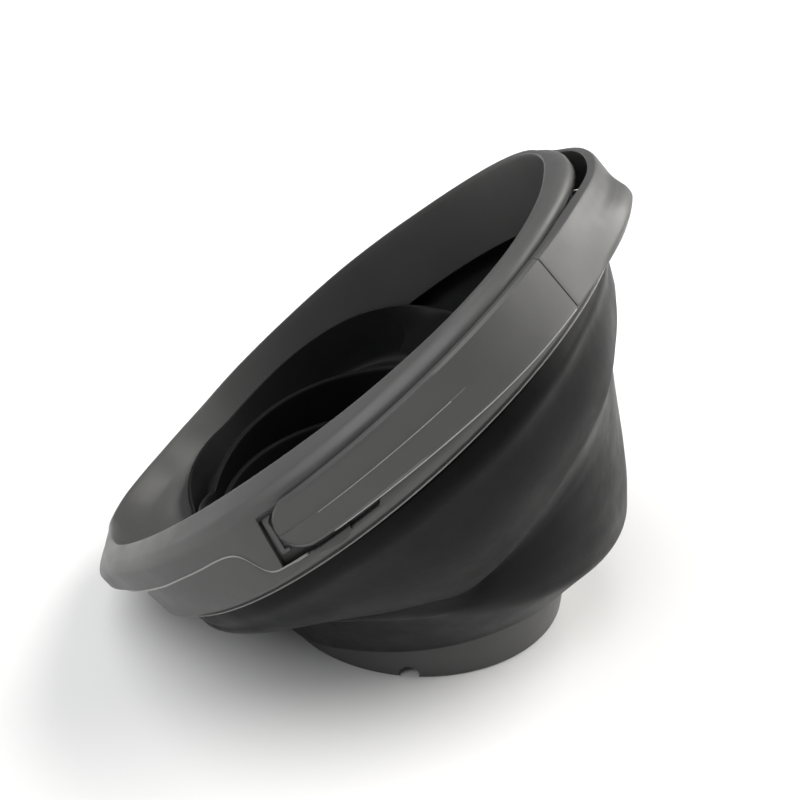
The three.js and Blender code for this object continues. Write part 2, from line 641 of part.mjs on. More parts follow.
const PULSATOR_RADIUS = 56;
const PULSATOR_UNDER = 38;
const VANES = 4;
let pulsator = turned([
  [0, PULSATOR_UNDER + 0.4], [PULSATOR_RADIUS - 2, PULSATOR_UNDER], [PULSATOR_RADIUS, PULSATOR_UNDER + 1.6],
  [PULSATOR_RADIUS - 3, PULSATOR_UNDER + 3.4], [18, PULSATOR_UNDER + 5], [13, PULSATOR_UNDER + 11],
  [0, PULSATOR_UNDER + 12],
], 48);
for (let i = 0; i < VANES; i += 1) {
  const vane = new THREE.Shape();
  vane.moveTo(8, -3);
  vane.quadraticCurveTo(30, -7, 51, -3);
  vane.absarc(51, 0, 3, -Math.PI / 2, Math.PI / 2, false);
  vane.quadraticCurveTo(30, 1, 8, 3);
  const geometry = new THREE.ExtrudeGeometry(vane, {
    depth: 7, bevelEnabled: true, bevelThickness: 1.5, bevelSize: 1.5, bevelSegments: 1, curveSegments: 4,
  });
  geometry.translate(0, 0, PULSATOR_UNDER + 1.9);
  geometry.rotateZ(((i * 360) / VANES) * DEG);
  pulsator = pulsator.add(solid(geometry));
}
pulsator = pulsator.subtract(disc(2.2 + GAP, PULSATOR_UNDER - 2, 43.8, 16)).subtract(disc(5, 46.4, 60, 20));
piece(washer, "pulsator", pulsator, darkPlastic);
piece(washer, "pulsator_screw", disc(4.6, 46.4 + GAP, 49, 20), steel);

// ---- electrics: board, switch, socket, button and its spring ----------------------------------------------------

piece(washer, "circuit_board", box([44, 26, 1.6], [-46, 0, 12]), boardGreen);
for (const [i, y] of [-9, 9].entries()) {
  piece(washer, `board_post_${i + 1}`, disc(2.6, coverTop + GAP, 11, 12, -46, y), darkPlastic);
}
piece(washer, "dc_socket", box([12, 13, 9.4], [NOTCH_X, -68, 7.3]).subtract(barY(2.8, -80, -65, NOTCH_X, 5.6, 16)), darkPlastic);
piece(washer, "power_switch", box([12, 8, 10], [0, 64, BUTTON_Z]), darkPlastic);

const buttonProfile = [
  [0, 71.5], [BUTTON_RADIUS - 0.6, 71.5], [BUTTON_RADIUS - 0.6, 77.8], [BUTTON_RADIUS + 1.2, 77.8],
  [BUTTON_RADIUS + 1.2, 79.2], [BUTTON_RADIUS, 79.2], [BUTTON_RADIUS, 84.6], [BUTTON_RADIUS - 0.8, 85.6], [0, 86],
];
const button = new THREE.LatheGeometry(buttonProfile.map(([r, y]) => new THREE.Vector2(r, y)), 24);
button.translate(0, 0, BUTTON_Z);
piece(washer, "power_button", solid(button), darkPlastic);

class SpringLine extends THREE.Curve {
  getPoint(t) {
    const turn = t * 6 * Math.PI;
    return new THREE.Vector3(2.6 * Math.cos(turn), 68.5 + 2.5 * t, BUTTON_Z + 2.6 * Math.sin(turn));
  }
}
const wire = new THREE.Shape();
wire.absarc(0, 0, 0.3, 0, Math.PI * 2, false);
const spring = new THREE.ExtrudeGeometry(wire, { steps: 36, extrudePath: new SpringLine(), curveSegments: 3 });
piece(washer, "button_spring", solid(spring), steel);

export default washer;
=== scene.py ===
"""Portable mini washer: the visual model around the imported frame. Shapes are worked out in millimetres."""

import json
import math

import bpy
import numpy as np
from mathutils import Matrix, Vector


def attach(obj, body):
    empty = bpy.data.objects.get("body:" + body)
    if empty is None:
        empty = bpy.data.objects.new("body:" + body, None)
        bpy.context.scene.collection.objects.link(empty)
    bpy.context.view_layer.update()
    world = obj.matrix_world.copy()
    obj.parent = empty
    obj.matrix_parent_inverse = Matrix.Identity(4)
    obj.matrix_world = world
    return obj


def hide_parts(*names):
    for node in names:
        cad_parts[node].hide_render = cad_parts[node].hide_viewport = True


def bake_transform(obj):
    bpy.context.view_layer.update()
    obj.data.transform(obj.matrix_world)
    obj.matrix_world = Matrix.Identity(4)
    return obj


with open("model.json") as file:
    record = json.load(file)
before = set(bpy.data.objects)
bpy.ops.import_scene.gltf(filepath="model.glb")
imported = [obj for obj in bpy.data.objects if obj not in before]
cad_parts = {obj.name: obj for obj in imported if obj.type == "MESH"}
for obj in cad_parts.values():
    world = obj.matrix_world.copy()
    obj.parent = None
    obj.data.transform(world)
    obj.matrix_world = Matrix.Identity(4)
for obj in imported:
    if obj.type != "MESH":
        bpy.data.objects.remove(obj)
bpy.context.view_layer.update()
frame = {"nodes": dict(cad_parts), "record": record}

# ---- named sizes, as in the CAD ------------------------------------------------------------------
MM = 0.001
RIM_CENTRE = np.array([-51.5, 0.0, 157.6])
RIM_TILT = math.radians(41)
MOUTH_RADIUS = [
    (0, 146.5), (12, 148), (22, 149.8), (35, 151.8), (48, 150.8), (60, 147.5), (71, 144.5),
    (83, 142.5), (100, 142), (116, 143), (124, 145), (132, 147.5), (141, 151.5), (150, 156),
    (160, 160.5), (172, 164.5), (180, 166),
]
LIP_RISE = [
    (0, 0), (48, 0), (60, 0.3), (71, 0.8), (83, 1.8), (97, 2.6), (108, 2.6), (120, 2.2), (132, 1.6),
    (141, 0.8), (150, 0), (180, 0),
]
RIM_DEPTH = 45.0
WALL = 2.6
SKIRT_RADIUS = 160.5
SKIRT_TOP = -6.6
SEAM_RIGHT = -34.4
SEAM = [
    (90.5, -35.6), (97.3, -35.0), (99.0, -33.4), (100.0, -29.6), (100.8, -23.4), (101.7, -19.4),
    (103.2, -17.2), (106, -16.2), (111, -16.5), (118, -17.1), (127, -18.9), (150, -20), (180, -20),
]
COLLAR_RADIUS = 160.0
COLLAR_FOOT_RADIUS = 155.0
RECESS_START = 94.0
RECESS_END = 99.0
RECESS_FLOOR = 158.0
GAP = 0.3

PIVOT_X = 8.0
PIVOT_Z = -19.0
HANDLE_INNER = 163.0
HANDLE_THICK = 5.0
HANDLE_TOP = -7.3
GRIP_DROP = 3.7
GRIP_WIDEN = 2.3
ARM_END_RADIUS = 12.0
GRIP_HALF_ANGLE = 33.5

BASE_FOOT_RADIUS = 83.2
BASE_FLARE = 2.6
BASE_TOP = 36.0
RIDGE_RADIUS = 113.0
RIDGE_Z = 61.0
SILICONE = 2.4
FLANGE_RADIUS = 66.0
FLANGE_Z = BASE_TOP + GAP + SILICONE / 2


# ---- shape tools ---------------------------------------------------------------------------------
def smooth(start, end, x):
    t = min(1.0, max(0.0, (x - start) / (end - start)))
    return t * t * (3 - 2 * t)


def knots(table, angle):
    """A value read off (angle, value) knots with smooth steps; the angle is taken without its sign."""
    a = abs(angle)
    i = 0
    while i < len(table) - 2 and a > table[i + 1][0]:
        i += 1
    a0, v0 = table[i]
    a1, v1 = table[i + 1]
    t = min(1.0, max(0.0, (a - a0) / (a1 - a0)))
    before = (v1 - table[i - 1][1]) / (a1 - table[i - 1][0]) if i > 0 else 0.0
    after = (table[i + 2][1] - v0) / (table[i + 2][0] - a0) if i < len(table) - 2 else 0.0
    width = a1 - a0
    h = (2 * t**3 - 3 * t**2 + 1, t**3 - 2 * t**2 + t, -2 * t**3 + 3 * t**2, t**3 - t**2)
    return h[0] * v0 + h[1] * before * width + h[2] * v1 + h[3] * after * width


def polar(radius, degrees, z):
    a = math.radians(degrees)
    return np.array([radius * math.cos(a), radius * math.sin(a), z])


def from_rim(p):
    """A point of the leaning rim's own frame, in the row frame."""
    c, s = math.cos(RIM_TILT), math.sin(RIM_TILT)
    return np.array([p[0] * c - p[2] * s, p[1], p[0] * s + p[2] * c]) + RIM_CENTRE


def span(start, end, steps):
    return [start + (end - start) * i / steps for i in range(steps + 1)]


def build(name, verts, faces, body, material, slot, replaces=(), shade_smooth=True):
    mesh = bpy.data.meshes.new(name)
    mesh.from_pydata([tuple(np.asarray(v) * MM) for v in verts], [], faces)
    mesh.validate()
    mesh.update()
    obj = bpy.data.objects.new(name, mesh)
    bpy.context.scene.collection.objects.link(obj)
    mesh.materials.append(material)
    mesh.shade_smooth() if shade_smooth else mesh.shade_flat()
    if body:
        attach(obj, body)
    if replaces:
        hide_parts(*replaces)
    return obj


def loft(rings, closed_round=True):
    """Vertices and faces of a skin over rings of points; open lofts get a cap at either end."""
    count = len(rings[0])
    verts = [p for ring in rings for p in ring]
    faces = []
    last = len(rings) if closed_round else len(rings) - 1
    for i in range(last):
        n = (i + 1) % len(rings)
        for j in range(count):
            k = (j + 1) % count
            faces.append((i * count + j, n * count + j, n * count + k, i * count + k))
    if not closed_round:
        end = (len(rings) - 1) * count
        faces.append(tuple(range(count)))
        faces.append(tuple(end + j for j in reversed(range(count))))
    return verts, faces


def face_out(obj):
    """Turns the faces outward."""
    import bmesh

    bm = bmesh.new()
    bm.from_mesh(obj.data)
    bmesh.ops.recalc_face_normals(bm, faces=bm.faces)
    bm.to_mesh(obj.data)
    bm.free()
    return obj


def soften(obj, width, segments=2, angle=35.0):
    """Rounds the sharp edges and keeps the flats looking flat."""
    bevel = obj.modifiers.new("edges", "BEVEL")
    bevel.width = width * MM
    bevel.segments = segments
    bevel.limit_method = "ANGLE"
    bevel.angle_limit = math.radians(angle)
    bevel.harden_normals = False
    bevel.use_clamp_overlap = True
    normals = obj.modifiers.new("normals", "WEIGHTED_NORMAL")
    normals.keep_sharp = True
    normals.weight = 60
    return obj


def turned(profile, sides):
    """Vertices and faces turned about Z from a closed profile of (radius, z)."""
    rings = [[polar(r, 360.0 * i / sides, z) for r, z in profile] for i in range(sides)]
    return loft(rings)


# ---- materials -----------------------------------------------------------------------------------
def new_material(name, color, roughness, metallic=0.0, specular=0.5):
    material = bpy.data.materials.new(name)
    material.use_nodes = True
    shader = material.node_tree.nodes["Principled BSDF"]
    shader.inputs["Base Color"].default_value = (*color, 1)
    shader.inputs["Roughness"].default_value = roughness
    shader.inputs["Metallic"].default_value = metallic
    shader.inputs["Specular IOR Level"].default_value = specular
    return material, material.node_tree, shader


def noise(tree, scale, detail=4.0, rough=0.6, vector=None, stretch=None):
    node = tree.nodes.new("ShaderNodeTexNoise")
    node.inputs["Scale"].default_value = scale
    node.inputs["Detail"].default_value = detail
    node.inputs["Roughness"].default_value = rough
    source = tree.nodes.new("ShaderNodeTexCoord").outputs["Object"] if vector is None else vector
    if stretch:
        mapping = tree.nodes.new("ShaderNodeMapping")
        mapping.inputs["Scale"].default_value = stretch
        tree.links.new(source, mapping.inputs["Vector"])
        source = mapping.outputs["Vector"]
    tree.links.new(source, node.inputs["Vector"])
    return node.outputs["Fac"]


def ramp(tree, value, low, high, position=(0.35, 0.65)):
    node = tree.nodes.new("ShaderNodeMapRange")
    node.inputs["From Min"].default_value = position[0]
    node.inputs["From Max"].default_value = position[1]
    node.inputs["To Min"].default_value = low
    node.inputs["To Max"].default_value = high
    tree.links.new(value, node.inputs["Value"])
    return node.outputs["Result"]


def mix_colors(tree, factor, first, second):
    node = tree.nodes.new("ShaderNodeMix")
    node.data_type = "RGBA"
    node.inputs["A"].default_value = (*first, 1)
    node.inputs["B"].default_value = (*second, 1)
    if isinstance(factor, float):
        node.inputs["Factor"].default_value = factor
    else:
        tree.links.new(factor, node.inputs["Factor"])
    return node.outputs["Result"]


def bump(tree, shader, height, strength, distance, previous=None):
    node = tree.nodes.new("ShaderNodeBump")
    node.inputs["Strength"].default_value = strength
    node.inputs["Distance"].default_value = distance
    tree.links.new(height, node.inputs["Height"])
    if previous is not None:
        tree.links.new(previous, node.inputs["Normal"])
    tree.links.new(node.outputs["Normal"], shader.inputs["Normal"])
    return node.outputs["Normal"]


def moulded_plastic(name, dark, light, roughness, specular=0.5):
    """Fine-grained satin plastic with faint cloudiness and slightly worn, polished spots."""
    material, tree, shader = new_material(name, light, roughness, specular=specular)
    cloud = noise(tree, 9.0, 5.0)
    shade = mix_colors(tree, ramp(tree, cloud, 0.0, 1.0), dark, light)
    tree.links.new(shade, shader.inputs["Base Color"])
    worn = ramp(tree, noise(tree, 26.0, 6.0), roughness - 0.06, roughness + 0.07)
    tree.links.new(worn, shader.inputs["Roughness"])
    first = bump(tree, shader, noise(tree, 2600.0, 2.0), 0.16, 0.0002)
    bump(tree, shader, noise(tree, 60.0, 3.0), 0.05, 0.002, first)
    return material


def soft_silicone(name, dark, light, roughness):
    """Soft black silicone: a velvety sheen, faint dust and slow waves."""
    material, tree, shader = new_material(name, light, roughness, specular=0.1)
    cloud = noise(tree, 14.0, 6.0, 0.65)
    shade = mix_colors(tree, ramp(tree, cloud, 0.0, 1.0), dark, light)
    tree.links.new(shade, shader.inputs["Base Color"])
    worn = ramp(tree, noise(tree, 34.0, 7.0), roughness - 0.07, roughness + 0.08)
    tree.links.new(worn, shader.inputs["Roughness"])
    shader.inputs["Sheen Weight"].default_value = 0.03
    shader.inputs["Sheen Roughness"].default_value = 0.45
    first = bump(tree, shader, noise(tree, 1700.0, 3.0), 0.12, 0.0002)
    bump(tree, shader, noise(tree, 42.0, 3.0), 0.12, 0.003, first)
    return material


GREY = moulded_plastic("grey_plastic", (0.05, 0.05, 0.0495), (0.06, 0.06, 0.0595), 0.4, 0.33)
# A lighter grey for the fine edge beads: a painted highlight for the light that catches those edges.
HIGHLIGHT_GREY = moulded_plastic("painted_highlight_edge", (0.19, 0.19, 0.186), (0.24, 0.24, 0.235), 0.35, 0.4)
SILICONE_BLACK = soft_silicone("black_silicone", (0.0026, 0.0026, 0.0028), (0.0044, 0.0044, 0.0046), 0.45)
# A darker copy of the black silicone for the wall's inner faces: painted shade for the dark inside of the
# tub.
SILICONE_PAINTED_SHADE = soft_silicone("silicone_inside_painted_shade", (0.0015, 0.0016, 0.0019), (0.0026, 0.0027, 0.003), 0.5)
DARK = moulded_plastic("dark_plastic", (0.018, 0.018, 0.019), (0.027, 0.027, 0.029), 0.45)
RUBBER = soft_silicone("pad_rubber", (0.006, 0.006, 0.006), (0.011, 0.011, 0.011), 0.75)
STEEL = moulded_plastic("plated_steel", (0.42, 0.43, 0.44), (0.5, 0.51, 0.52), 0.3)
STEEL.node_tree.nodes["Principled BSDF"].inputs["Metallic"].default_value = 1.0
BOARD = moulded_plastic("board_green", (0.012, 0.09, 0.04), (0.018, 0.13, 0.055), 0.4)

FINISHES = {
    "grey_plastic": GREY,
    "silicone": SILICONE_BLACK,
    "dark_plastic": DARK,
    "rubber": RUBBER,
    "steel": STEEL,
    "board": BOARD,
}
for part in frame["record"]["subparts"]:
    for index in range(len(frame["nodes"][part["node"]].material_slots)):
        frame["nodes"][part["node"]].material_slots[index].material = FINISHES[part["material_slot"]]


# ---- upper shell ---------------------------------------------------------------------------------
SPOUT_LAG = 9.0
SPOUT_TURN = 5.0
SPOUT_BULGE = 14


def spout_angle(angle):
    """The spout points a little towards the front of straight left."""
    a = abs(angle) - math.copysign(SPOUT_TURN, angle) * smooth(110, 140, abs(angle))
    return min(a, 360 - a)


def mouth_radius(angle):
    """A little narrower between the handle's ends, and widened into the spout."""
    a = abs(angle)
    lag = SPOUT_LAG * smooth(135, 155, angle) * (1 - smooth(170, 180, a))
    return knots(MOUTH_RADIUS, a - lag)


def inner_radius(angle, z):
    """The tub's wall below the mouth narrows towards the silicone; the spout has a shallow scoop in it."""
    mouth = mouth_radius(angle)
    scoop = SCOOP_DEPTH * smooth(163, 172, abs(angle)) * smooth(-23, -15, z)
    return mouth + (z / RIM_DEPTH) * (mouth - 145) + scoop


def skirt_radius(angle):
    a = abs(angle)
    bulge = 0.5 * smooth(92, 100, a)
    flat = 2 * (1 - smooth(5, 55, a))
    return SKIRT_RADIUS - flat + bulge + SPOUT_BULGE * smooth(128, 173, spout_angle(angle))


RECESS_SLANT = 2.7


def recess_shift(angle):
    """How far the recess's slanted wall has moved round by the time it reaches the seam."""
    a = abs(angle)
    if not RECESS_START <= a <= RECESS_END:
        return 0.0
    return RECESS_SLANT * (RECESS_END - a) / (RECESS_END - RECESS_START)


def skirt_foot(angle):
    a = abs(angle)
    return SKIRT_TOP - WALL if a < RECESS_START else knots(SEAM, a + recess_shift(a)) + GAP


RECESS_CORNER = 7.0
RECESS_ROUNDING = 2.4
SCOOP_DEPTH = 2.4
SPOUT_LEAN = 14.5
SPOUT_TUCK = 5.0


def shell_ring(angle):
    mouth = mouth_radius(angle)
    foot = skirt_foot(angle)
    skirt = skirt_radius(angle)
    hollow = SKIRT_TOP - WALL + 0.2
    edge = inner_radius(angle, 0)
    lip = [(edge + 0.15, -0.8), (edge + 0.45, -0.25), (edge + 1.2, 0.0), (edge + 3.2, -0.35)]
    lip += [(skirt - 5.3, -1.4), (skirt - 3.2, -2.4), (skirt - 1.4, -3.9)]
    lip += [(skirt - 0.4, -5.3), (skirt, SKIRT_TOP)]
    rise = knots(LIP_RISE, angle)
    lip = [(r, z + rise * min(1.0, max(0.0, (skirt - r) / (skirt - edge)))) for r, z in lip]
    section = [(inner_radius(angle, z), z) for z in (-3, -9, -14, -17, -20, -24, -33, -44.4)]
    section += [
        (inner_radius(angle, -RIM_DEPTH) + 0.5, -RIM_DEPTH),
        (inner_radius(angle, -RIM_DEPTH) + WALL, -RIM_DEPTH),
        (inner_radius(angle, -30) + WALL, -30),
        (inner_radius(angle, hollow) + WALL, hollow),
        (skirt - WALL, max(hollow, foot + 0.1)),
        (skirt - WALL, foot),
        (skirt - 0.5, foot),
        (skirt, foot + 0.5),
        (skirt, 0.5 * (foot - 12.5)),
        (skirt, max(-12.5, foot + 0.9)),
        (skirt, max(-11.3, foot + 1.0)),
        (skirt, max(-10.1, foot + 1.1)),
        (skirt, max(-8.3, foot + 1.2)),
    ]
    section += list(reversed(lip))
    spout = smooth(146, 172, spout_angle(angle))
    ring = []
    for r, z in section:
        if r > skirt - WALL - 0.1 or (r > edge + 2 and z > SKIRT_TOP):
            r += spout * (SPOUT_LEAN * smooth(-1, -14, z) - SPOUT_TUCK * smooth(edge + 2, skirt, r))
        drop = max(0.0, SKIRT_TOP - z) / (SKIRT_TOP - SEAM_RIGHT)
        corner = max(0.0, 1 - max(0.0, SKIRT_TOP - z) / RECESS_CORNER) ** 2
        shift = recess_shift(angle)
        rounding = RECESS_ROUNDING * corner * shift / RECESS_SLANT
        slant = shift * drop - rounding if r > skirt - WALL - 0.1 and z <= SKIRT_TOP else 0.0
        ring.append(from_rim(polar(r, angle + math.copysign(slant, angle), z)))
    return ring


half = span(0, 90, 60) + span(90, RECESS_START - 0.05, 3)[1:]
half += span(RECESS_START, 106, 40) + span(106, 180, 50)[1:]
shell_angles = [-a for a in reversed(half)][1:] + half[1:]
shell_angles = sorted(set(shell_angles + [0.0]))
shell_skin = loft([shell_ring(a) for a in shell_angles])
upper_shell = build("upper_shell_body", *shell_skin, "rim", GREY, "grey_plastic", ["upper_shell"])
face_out(upper_shell)
normals = upper_shell.modifiers.new("normals", "WEIGHTED_NORMAL")
normals.keep_sharp = True


def bar_y(radius, y0, y1, x, z, sides=32, chamfer=0.6):
    """A round bar along Y of the rim's frame with softened ends."""
    shoulder = y0 + math.copysign(chamfer, y1 - y0)
    lengths = [(0.0, y0), (radius - chamfer, y0), (radius, shoulder), (radius, y1), (0.0, y1)]
    rings = []
    for i in range(sides):
        a = 2 * math.pi * i / sides
        rings.append([from_rim((x + r * math.cos(a), y, z + r * math.sin(a))) for r, y in lengths])
    return loft(rings)


SIDES = (("front", -1), ("rear", 1))
BOSS_RADIUS = 7.5
BOSS_ROOT = 145
BOSS_FACE = HANDLE_INNER - 2.2
for name, side in SIDES:
    bar = bar_y(BOSS_RADIUS, side * BOSS_FACE, side * BOSS_ROOT, PIVOT_X, PIVOT_Z)
    face_out(build("pivot_boss_" + name, *bar, "rim", GREY, "grey_plastic"))


def rim_skin(section_at, angles, side=1):
    """An open skin over sections of (radius, height) that stand at angles round the rim."""
    rings = [[from_rim(polar(r, side * a, z)) for r, z in section_at(a)] for a in angles]
    return loft(rings, closed_round=False)


RIB_ROOT = 155.0
RIB_FACE = 159.4
SLAB_BACK = 152
SLAB_TOP = -10.4
TRACK_BACK = 150
TRACK_FACE = 157.2
TRACK_TOP = -33.8
TRACK_FOOT = -39


def recess_rib(side):
    """The L-shaped rib on the floor of each recess, as (angle, height) corners."""
    outline = [
        (91.7, -9.8), (92.3, -9.4), (93.2, -9.9), (93.9, -12.0), (95.4, -29.2), (95.1, -30.2),
        (93.5, -30.2), (93.4, -28.8), (94.3, -28.4), (92.9, -13.6), (91.6, -11.2),
    ]
    rings = [[from_rim(polar(r, side * a, z)) for a, z in outline] for r in (RIB_ROOT, RIB_FACE)]
    return loft(rings, closed_round=False)


def slab_section(angle):
    """The recess's floor behind the handle's end; past the catch it reaches behind the collar."""
    face = RECESS_FLOOR - 1.6 * smooth(85.5, 81.5, angle)
    bottom = -35.0 if angle < 90.6 else -37.5
    return [(SLAB_BACK, SLAB_TOP), (SLAB_BACK, bottom), (face, bottom), (face, SLAB_TOP)]


def track_section(_):
    """The plate behind the collar's slot, which the catch slides along."""
    return [
        (TRACK_BACK, TRACK_TOP), (TRACK_BACK, TRACK_FOOT),
        (TRACK_FACE, TRACK_FOOT), (TRACK_FACE, TRACK_TOP),
    ]


def bead(name, points, radius, body):
    """A fine rounded edge of moulded plastic, given a lighter grey as a painted highlight for the line of
    light along the edge.
    """
    rings = []
    for p in points:
        out = np.asarray(from_rim(p)) - np.asarray(from_rim((0, 0, p[2])))
        out /= np.linalg.norm(out)
        up = np.asarray(from_rim((0, 0, 1))) - np.asarray(from_rim((0, 0, 0)))
        centre = np.asarray(from_rim(p))
        turns = np.linspace(0, 2 * math.pi, 6, False)
        rings.append([tuple(centre + radius * (out * math.cos(t) + up * math.sin(t))) for t in turns])
    return face_out(build(name, *loft(rings, closed_round=False), body, HIGHLIGHT_GREY, "grey_plastic"))


LEDGE_OUT = 160.05
LEDGE_SWELL = 4.95
LEDGE_ROOT = 158.5
LEDGE_TOP = -38.3
LEDGE_FOOT = -39.4
LEDGE_EDGE = 0.3


def ledge_section(angle):
    """A thin ledge round the collar, which closes the gap under the handle."""
    swell = (1 - smooth(18, 45, -angle)) * (1 - smooth(55, 74, angle))
    out = LEDGE_OUT + LEDGE_SWELL * swell
    return [
        (LEDGE_ROOT, LEDGE_TOP), (LEDGE_ROOT, LEDGE_FOOT), (out - LEDGE_EDGE, LEDGE_FOOT),
        (out, LEDGE_FOOT + LEDGE_EDGE), (out, LEDGE_TOP - LEDGE_EDGE), (out - LEDGE_EDGE, LEDGE_TOP),
    ]


ledge = build("grip_ledge", *rim_skin(ledge_section, span(-46, 76, 90)), "rim", GREY, "grey_plastic")
face_out(ledge)
for name, side in SIDES:
    track = rim_skin(track_section, span(75.5, 90.5, 12), side)
    face_out(build("catch_track_" + name, *track, "rim", GREY, "grey_plastic"))
for name, side in SIDES:
    rib = build("recess_rib_" + name, *recess_rib(side), "rim", GREY, "grey_plastic")
    soften(face_out(rib), 0.45, 3)
for name, side in SIDES:
    slab = rim_skin(slab_section, span(81.5, RECESS_END, 18), side)
    face_out(build("recess_floor_" + name, *slab, "rim", GREY, "grey_plastic"))

# ---- collar --------------------------------------------------------------------------------------
COLLAR_TOP = [
    (0, SEAM_RIGHT), (60, SEAM_RIGHT), (76.2, SEAM_RIGHT), (77.4, -36.8), (89.8, -36.8),
    (90.5, -35.6),
]


def steps(table, a):
    i = 0
    while i < len(table) - 2 and a > table[i + 1][0]:
        i += 1
    (a0, v0), (a1, v1) = table[i], table[i + 1]
    return v0 + (v1 - v0) * smooth(a0, a1, a)


def collar_top(angle):
    a = abs(angle)
    return steps(COLLAR_TOP, a) if a < COLLAR_TOP[-1][0] else knots(SEAM, a)


def collar_ring(angle):
    top = collar_top(angle)
    side = COLLAR_RADIUS + 1.6 * smooth(92, 96, abs(angle)) + 2 * smooth(150, 180, abs(angle))

    def bore(z):
        return inner_radius(angle, z) + WALL + GAP

    section = [
        (bore(-38), -38),
        (bore(-RIM_DEPTH), -RIM_DEPTH),
        (COLLAR_FOOT_RADIUS + 1.2, -RIM_DEPTH),
        (COLLAR_FOOT_RADIUS + 1.7, -RIM_DEPTH + 0.4),
        (COLLAR_FOOT_RADIUS + 1.6, -RIM_DEPTH + 0.9),
        (COLLAR_FOOT_RADIUS + 0.9, -RIM_DEPTH + 1.5),
        (side, min(-38.9, top - 1.0)),
        (side, top - 0.5),
        (side - 0.5, top),
        (side - WALL, top),
        (side - WALL, min(-39, top - 0.4)),
    ]
    return [from_rim(polar(r, angle, z)) for r, z in section]


collar_half = span(0, 75, 45) + span(75, 79, 12)[1:] + span(79, 88, 8)[1:]
collar_half += span(88, 106, 54)[1:] + span(106, 180, 50)[1:]
collar_angles = sorted(set([-a for a in collar_half][:-1] + collar_half))
collar_skin = loft([collar_ring(a) for a in collar_angles])
collar = build("collar_body", *collar_skin, "rim", GREY, "grey_plastic", ["collar_ring"])
face_out(collar)
normals = collar.modifiers.new("normals", "WEIGHTED_NORMAL")
normals.keep_sharp = True

SEAM_BEAD = 0.62
FOOT_EDGE = 0.32
# The seam and collar foot beads are drawn in the lighter grey: a painted highlight along these edges.
for name, side in SIDES:
    along = [side * a for a in span(91.5, 180, 130)]
    seam_line = [polar(skirt_radius(a) - 0.3, a, collar_top(a) + 0.1) for a in along]
    bead("seam_edge_" + name, seam_line, SEAM_BEAD, "rim")
    along = [side * a for a in span(0, 180, 130)]
    foot_line = [polar(COLLAR_FOOT_RADIUS + 1.6, a, -RIM_DEPTH + 0.7) for a in along]
    bead("collar_edge_" + name, foot_line, FOOT_EDGE, "rim")

CATCH_LOW = [(83, -38.3), (84.2, -39.8), (85.5, -40.1), (89, -38.4), (89.8, -38.2)]
STEM_BACK = 157.7
STEM_FRONT = 160.3
STEM_FOOT = -36.5
PLATE_FACE = 161.5


def catch_section(angle):
    """A stem in the collar's slot and a plate over the collar's face."""
    low = knots(CATCH_LOW, angle)
    return [
        (STEM_BACK, STEM_FOOT), (STEM_FRONT, STEM_FOOT), (STEM_FRONT, low - 0.1), (PLATE_FACE, low),
        (PLATE_FACE + 0.1, -36.4), (PLATE_FACE - 0.2, -35.5), (STEM_BACK, -35.7),
    ]


for name, side in SIDES:
    body = "catch_" + name
    node = "handle_" + body
    skin = rim_skin(catch_section, span(83, 89.8, 14), side)
    catch = build(node + "_tab", *skin, body, GREY, "grey_plastic", [node])
    soften(face_out(catch), 0.35)


# ---- handle --------------------------------------------------------------------------------------
GRIP_BEVEL = [(0, -1.4), (0.06, -0.7), (0.14, 0), (1, 0)]
FLARE_OUTER = [
    (0, 0), (0.34, 0), (0.45, 1.2), (0.57, 3.4), (0.7, 5.4), (0.8, 5.8), (0.9, 5.2), (1, 2.0),
]
FLARE_INNER = [(0, 0), (0.4, 0), (0.57, 2.2), (0.7, 4.0), (0.85, 4.4), (1, 1.8)]
HANDLE_FOOT = [(0, -37.5), (20, -37.5), (42, -36.8), (53, -35.5), (63, -33.7), (76, -32), (96, -31)]
CREASE = 0.55
FOOT_BEAD = 0.45


def flare(angle):
    """The lower half of the grip swells out for the fingers, and stops short on the rear half."""
    return 1 - smooth(8, 30, -angle) if angle < -3 else 1 - smooth(-3, 8, angle)


def handle_foot(angle):
    return knots(HANDLE_FOOT, angle)


def handle_section(angle, top=None, foot=None):
    """Flat along the arms with a fine step half way down; wider, bevelled and flared along the grip."""
    foot = handle_foot(angle) if foot is None else foot
    top = HANDLE_TOP - GRIP_DROP * smooth(-22, 2, angle) * (1 - smooth(28, 42, angle)) if top is None else top
    grip = 1 - smooth(16, 40, abs(angle))
    inner = HANDLE_INNER + GRIP_WIDEN * smooth(-28, -2, angle) * grip
    outer = HANDLE_INNER + GRIP_WIDEN * grip + HANDLE_THICK
    step = CREASE * smooth(50, 62, abs(angle))
    bead = FOOT_BEAD * smooth(30, 40, abs(angle))
    height = top - foot

    def face(share, inset=0.0):
        r = outer - inset + flare(angle) * knots(FLARE_OUTER, share) + grip * knots(GRIP_BEVEL, share)
        return (r, top - share * height)

    inside = [(inner + flare(angle) * knots(FLARE_INNER, t), top - t * height) for t in span(0, 1, 10)]
    lower = [face(1, 1.0), face(0.985, -bead), face(0.965, -bead), face(0.94)]
    lower += [face(t) for t in span(0.88, 0.58, 5)]
    middle = [face(0.535), (face(0.53)[0] - step, face(0.53)[1] + min(0.25, 0.01 * height))]
    upper = [face(t, step) for t in span(0.45, 0.05, 6)]
    return inside + lower + middle + upper + [(outer - 1.3 - grip * 2.8, top)]


def handle_ring(angle, top=None, foot=None):
    return [from_rim(polar(r, angle, z)) for r, z in handle_section(angle, top, foot)]


def arm_rings(side):
    rings = [handle_ring(side * a) for a in span(GRIP_HALF_ANGLE + 0.15, 86.0, 44)]
    for i in range(1, 12):
        turn = math.radians(90.0 * i / 12)
        x = PIVOT_X - ARM_END_RADIUS * math.sin(turn)
        reach = ARM_END_RADIUS * math.cos(turn)
        angle = math.degrees(math.acos(x / (HANDLE_INNER + HANDLE_THICK / 2)))
        rings.append(handle_ring(side * angle, PIVOT_Z + reach, PIVOT_Z - reach))
    return rings


